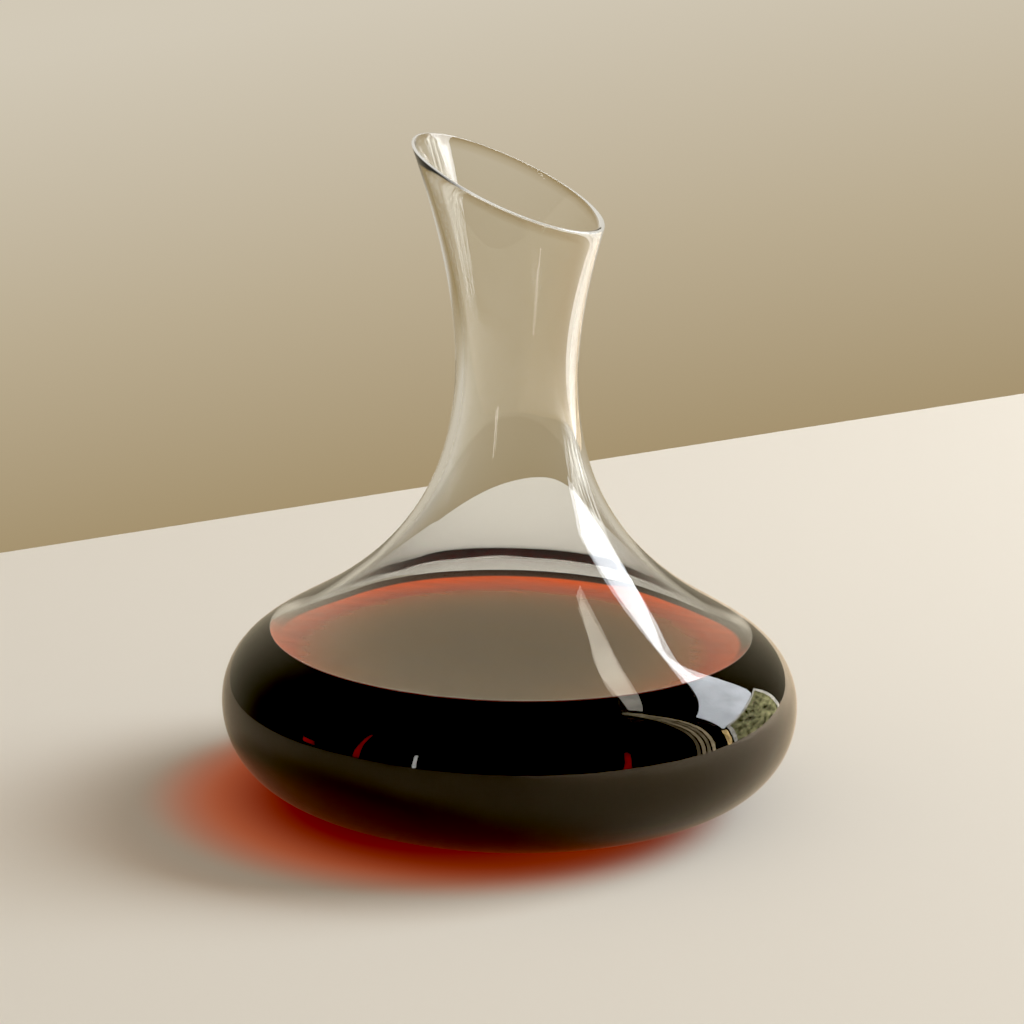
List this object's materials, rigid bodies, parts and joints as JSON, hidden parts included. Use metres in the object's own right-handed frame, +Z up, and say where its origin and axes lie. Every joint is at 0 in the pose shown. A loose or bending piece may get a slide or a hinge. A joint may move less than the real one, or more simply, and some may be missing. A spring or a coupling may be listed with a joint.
{
  "type": "wine decanter",
  "caption": "Clear glass wine decanter with a squat bowl, a waisted neck and a flared mouth cut on a slant, part filled with red wine.",
  "frame": {"origin": "centre of the foot ring, on the table", "axes": "+Z up along the axis of the bowl and neck, +X towards the low, pouring side of the slanted mouth, XZ the plane of symmetry"},
  "size_m": [0.2, 0.2, 0.2288],
  "materials": {
    "clear_glass": "clear blown crystal glass, fire-polished lip",
    "red_wine": "dark red liquid with a mirror-smooth surface"
  },
  "bodies": {
    "root": {"glass_vessel": "clear_glass", "red_wine": "red_wine"}
  },
  "joints": []
}
